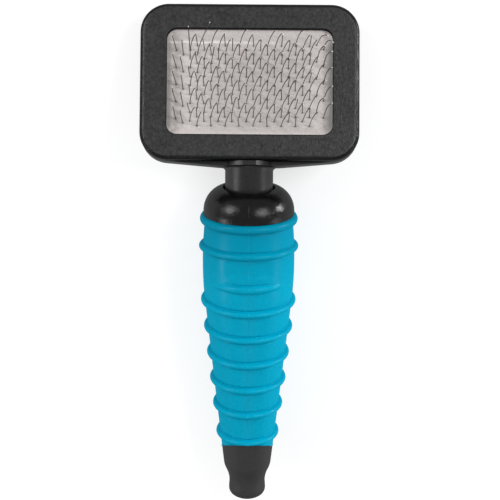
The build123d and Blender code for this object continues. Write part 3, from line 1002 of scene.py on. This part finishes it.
foam_top = FLOOR_HEIGHT + FOAM_THICKNESS
foam = slab("foam_block", FOAM, FOAM_CORNER, FLOOR_HEIGHT, foam_top, FOAM_EDGE, FOAM_RUBBER)
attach(foam, "root")
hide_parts("pad_foam")
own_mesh(foam)

cloth_height = foam_top + CLOTH_THICKNESS
cloth = slab(
    "backing_cloth", CARD, CARD_CORNER, foam_top, cloth_height, CLOTH_EDGE, BACKING_CLOTH
)
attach(cloth, "pin_pad")
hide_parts("card_backing")

sleeve = build_sleeve()
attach(sleeve, "root")
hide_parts("grip_sleeve")

collar_line = build_collar_line()
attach(collar_line, "root")


# ---------------------------------------------------------------- camera
PHOTO_SIDE = 500
FOCAL_PIXELS = 1500
SENSOR_WIDTH = 36
CAMERA_DISTANCE = 0.508
# where the neck's root lies in the photograph, in pixels from its top left
ROOT_IN_PHOTO = (249.2, 163.75)
VIEW_TILT = math.radians(4.0)
VIEW_ROLL = math.radians(0.4)


def add_camera():
    """The photograph's view: nearly square on to the head, a little rolled.

    Gives the directions towards it, to its right and up."""
    towards = (math.cos(VIEW_TILT) * NORMAL - math.sin(VIEW_TILT) * UPWARDS).normalized()
    right = Matrix.Rotation(VIEW_ROLL, 3, towards) @ ACROSS
    up = towards.cross(right)
    pixel = CAMERA_DISTANCE / FOCAL_PIXELS
    aside = (PHOTO_SIDE / 2 - ROOT_IN_PHOTO[0]) * pixel
    below = (PHOTO_SIDE / 2 - ROOT_IN_PHOTO[1]) * pixel
    data = bpy.data.cameras.new("photo_camera")
    data.sensor_width = SENSOR_WIDTH
    data.lens = SENSOR_WIDTH * FOCAL_PIXELS / PHOTO_SIDE
    camera = bpy.data.objects.new("photo_camera", data)
    turn = Matrix((right, up, towards)).transposed().to_4x4()
    place = HANDLE_ROOT + towards * CAMERA_DISTANCE + right * aside - up * below
    camera.matrix_world = Matrix.Translation(place) @ turn
    bpy.context.scene.collection.objects.link(camera)
    bpy.context.scene.camera = camera
    return towards, right, up


TOWARDS, RIGHT, UP = add_camera()


# ---------------------------------------------------------------- light and floor
LAMP_DISTANCE = 0.8
# each lamp's direction, right, up and towards the camera, its size in metres and its brightness
SOFTBOXES = {
    "left_softbox": ((-0.7, 0.33, 0.63), (0.37, 0.25), 9.8),
    "right_softbox": ((0.55, 0.17, 0.82), (0.29, 0.21), 13.8),
    "left_low_softbox": ((-0.85, -0.4, 0.3), (0.2, 0.2), 10.0),
    "right_low_softbox": ((0.9, -0.38, 0.2), (0.25, 0.25), 4.0),
    "right_rim": ((0.97, 0.34, 0.14), (0.07, 0.055), 290.0),
    "tail_softbox": ((0.0, -0.8, 0.6), (0.4, 0.16), 1.8),
}
FLOOR_HALF = 40.0
FLOOR_GREY = 0.45
FLOOR_GLOW = 0.62
WORLD_LEVEL = 0.48


def add_softbox(name, direction, size, level):
    """A soft lamp that faces the brush."""
    right, up, towards = direction
    way = (RIGHT * right + UP * up + TOWARDS * towards).normalized()
    data = bpy.data.lights.new(name, "AREA")
    data.shape = "RECTANGLE"
    data.size, data.size_y = size
    data.energy = level * math.pi * size[0] * size[1]
    lamp = bpy.data.objects.new(name, data)
    lamp.location = way * LAMP_DISTANCE
    lamp.rotation_mode = "QUATERNION"
    lamp.rotation_quaternion = way.to_track_quat("Z", "Y")
    bpy.context.scene.collection.objects.link(lamp)


def white_floor():
    """Pale floor that shows white to the camera and in reflections, but for the brush's shadow."""
    material, principled = shader(
        "floor_paper",
        Base_Color=(FLOOR_GREY, FLOOR_GREY, FLOOR_GREY, 1),
        Roughness=0.9,
        Specular_IOR_Level=0.1,
    )
    tree = material.node_tree
    glow = tree.nodes.new("ShaderNodeEmission")
    glow.inputs["Strength"].default_value = FLOOR_GLOW
    both = tree.nodes.new("ShaderNodeAddShader")
    mix = tree.nodes.new("ShaderNodeMixShader")
    path = tree.nodes.new("ShaderNodeLightPath")
    seen = path.outputs["Is Camera Ray"]
    for other in ("Is Glossy Ray", "Is Transmission Ray"):
        either = tree.nodes.new("ShaderNodeMath")
        either.operation = "MAXIMUM"
        tree.links.new(seen, either.inputs[0])
        tree.links.new(path.outputs[other], either.inputs[1])
        seen = either.outputs[0]
    for output, socket in (
        (principled.outputs[0], both.inputs[0]),
        (glow.outputs[0], both.inputs[1]),
        (seen, mix.inputs[0]),
        (principled.outputs[0], mix.inputs[1]),
        (both.outputs[0], mix.inputs[2]),
        (mix.outputs[0], tree.nodes["Material Output"].inputs["Surface"]),
    ):
        tree.links.new(output, socket)
    return material


def add_floor():
    """The wide floor that the brush lies on."""
    half = FLOOR_HALF
    corners = [(-half, -half, 0), (half, -half, 0), (half, half, 0), (-half, half, 0)]
    floor = mesh_piece("floor", corners, [(0, 1, 2, 3)], white_floor(), smooth=False)


def add_world():
    """Even white light from all round."""
    world = bpy.data.worlds.new("studio")
    bpy.context.scene.world = world
    world.use_nodes = True
    background = world.node_tree.nodes["Background"]
    background.inputs["Color"].default_value = (1, 1, 1, 1)
    background.inputs["Strength"].default_value = WORLD_LEVEL


for name, values in SOFTBOXES.items():
    add_softbox(name, *values)
add_floor()
add_world()
bpy.context.scene.view_settings.view_transform = "Standard"
